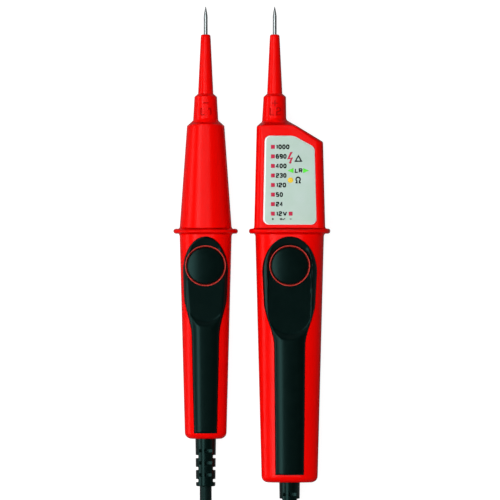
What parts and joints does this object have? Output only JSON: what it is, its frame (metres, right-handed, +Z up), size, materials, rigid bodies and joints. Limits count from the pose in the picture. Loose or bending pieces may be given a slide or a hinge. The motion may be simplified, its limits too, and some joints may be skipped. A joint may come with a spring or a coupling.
{
  "type": "two-pole voltage tester",
  "caption": "Hand-held voltage tester: a display handle and a plain handle, each with a slim contact probe, finger collar and thumb button, joined by a coiled lead.",
  "frame": {"origin": "on the table under the middle of the pair of handles, measured from the probe points to the ends of the strain reliefs; the coiled part of the lead lies beyond it", "axes": "+Y towards the probe points, +Z up from the table out of the front of both handles, +X towards the display handle"},
  "size_m": [0.0846, 0.3646, 0.0268],
  "materials": {
    "red_plastic": "gloss injection-moulded housing",
    "black_rubber": "soft satin elastomer",
    "ring_plastic": "satin dull red",
    "scale_film": "satin pale grey-green film",
    "red_window": "translucent crimson",
    "green_window": "translucent green",
    "yellow_window": "translucent yellow",
    "white_plastic": "matte white",
    "dark_plastic": "matte dark grey",
    "probe_steel": "ground and polished",
    "screw_steel": "zinc plated",
    "board_green": "solder mask on glass fibre",
    "resistor_body": "cement and lacquer",
    "cell_wrap": "printed sleeve without text",
    "lead_jacket": "satin soft jacket",
    "inner_wire": "brown insulation",
    "plunger": "natural nylon"
  },
  "bodies": {
    "display_handle": {"display_front_shell": "red_plastic", "display_back_shell": "red_plastic", "display_nose_sleeve": "red_plastic", "display_contact_probe": "probe_steel", "display_grip_pad": "black_rubber", "display_button_ring": "ring_plastic", "display_button_spring": "screw_steel", "display_switch": "dark_plastic", "display_circuit_board": "board_green", "display_housing_screws": "screw_steel", "display_strain_relief": "black_rubber", "display_inner_leads": "inner_wire", "scale_plate": "scale_film", "scale_windows": "red_window", "arrow_windows": "green_window", "dot_window": "yellow_window", "bolt_window": "red_window", "light_shaft_block": "white_plastic", "light_diodes": "white_plastic", "board_chips": "dark_plastic", "input_resistors": "resistor_body", "sounder": "dark_plastic", "battery_holder": "dark_plastic", "battery_cells": "cell_wrap", "battery_contacts": "screw_steel", "battery_cover": "red_plastic", "battery_cover_screw": "screw_steel", "lead_coil": "lead_jacket", "lead_display_run": "lead_jacket", "lead_tie": "dark_plastic"},
    "plain_handle": {"plain_front_shell": "red_plastic", "plain_back_shell": "red_plastic", "plain_nose_sleeve": "red_plastic", "plain_contact_probe": "probe_steel", "plain_grip_pad": "black_rubber", "plain_button_ring": "ring_plastic", "plain_button_spring": "screw_steel", "plain_switch": "dark_plastic", "plain_circuit_board": "board_green", "plain_housing_screws": "screw_steel", "plain_strain_relief": "black_rubber", "plain_inner_leads": "inner_wire", "load_resistors": "resistor_body", "vibration_motor": "screw_steel", "lead_plain_run": "lead_jacket"},
    "display_button": {"display_push_button": "black_rubber", "display_switch_plunger": "plunger"},
    "plain_button": {"plain_push_button": "black_rubber", "plain_switch_plunger": "plunger"},
    "motor_rotor": {"motor_shaft": "probe_steel", "motor_weight": "screw_steel"}
  },
  "joints": [
    {"name": "lead_swing", "type": "hinge", "parent": "display_handle", "child": "plain_handle", "pos_m": [-0.0446, -0.186, 0.00365], "axis": [0, 0, 1], "range_deg": [0, 40]},
    {"name": "display_button_press", "type": "slide", "parent": "display_handle", "child": "display_button", "axis": [0, 0, -1], "range_m": [0, 0.0012], "stiffness_N_per_m": 800, "deforming": ["display_button_spring"]},
    {"name": "plain_button_press", "type": "slide", "parent": "plain_handle", "child": "plain_button", "axis": [0, 0, -1], "range_m": [0, 0.0012], "stiffness_N_per_m": 800, "deforming": ["plain_button_spring"]},
    {"name": "motor_spin", "type": "hinge", "parent": "plain_handle", "child": "motor_rotor", "pos_m": [-0.0233, -0.0644, 0.012], "axis": [0, 1, 0], "continuous": true}
  ]
}
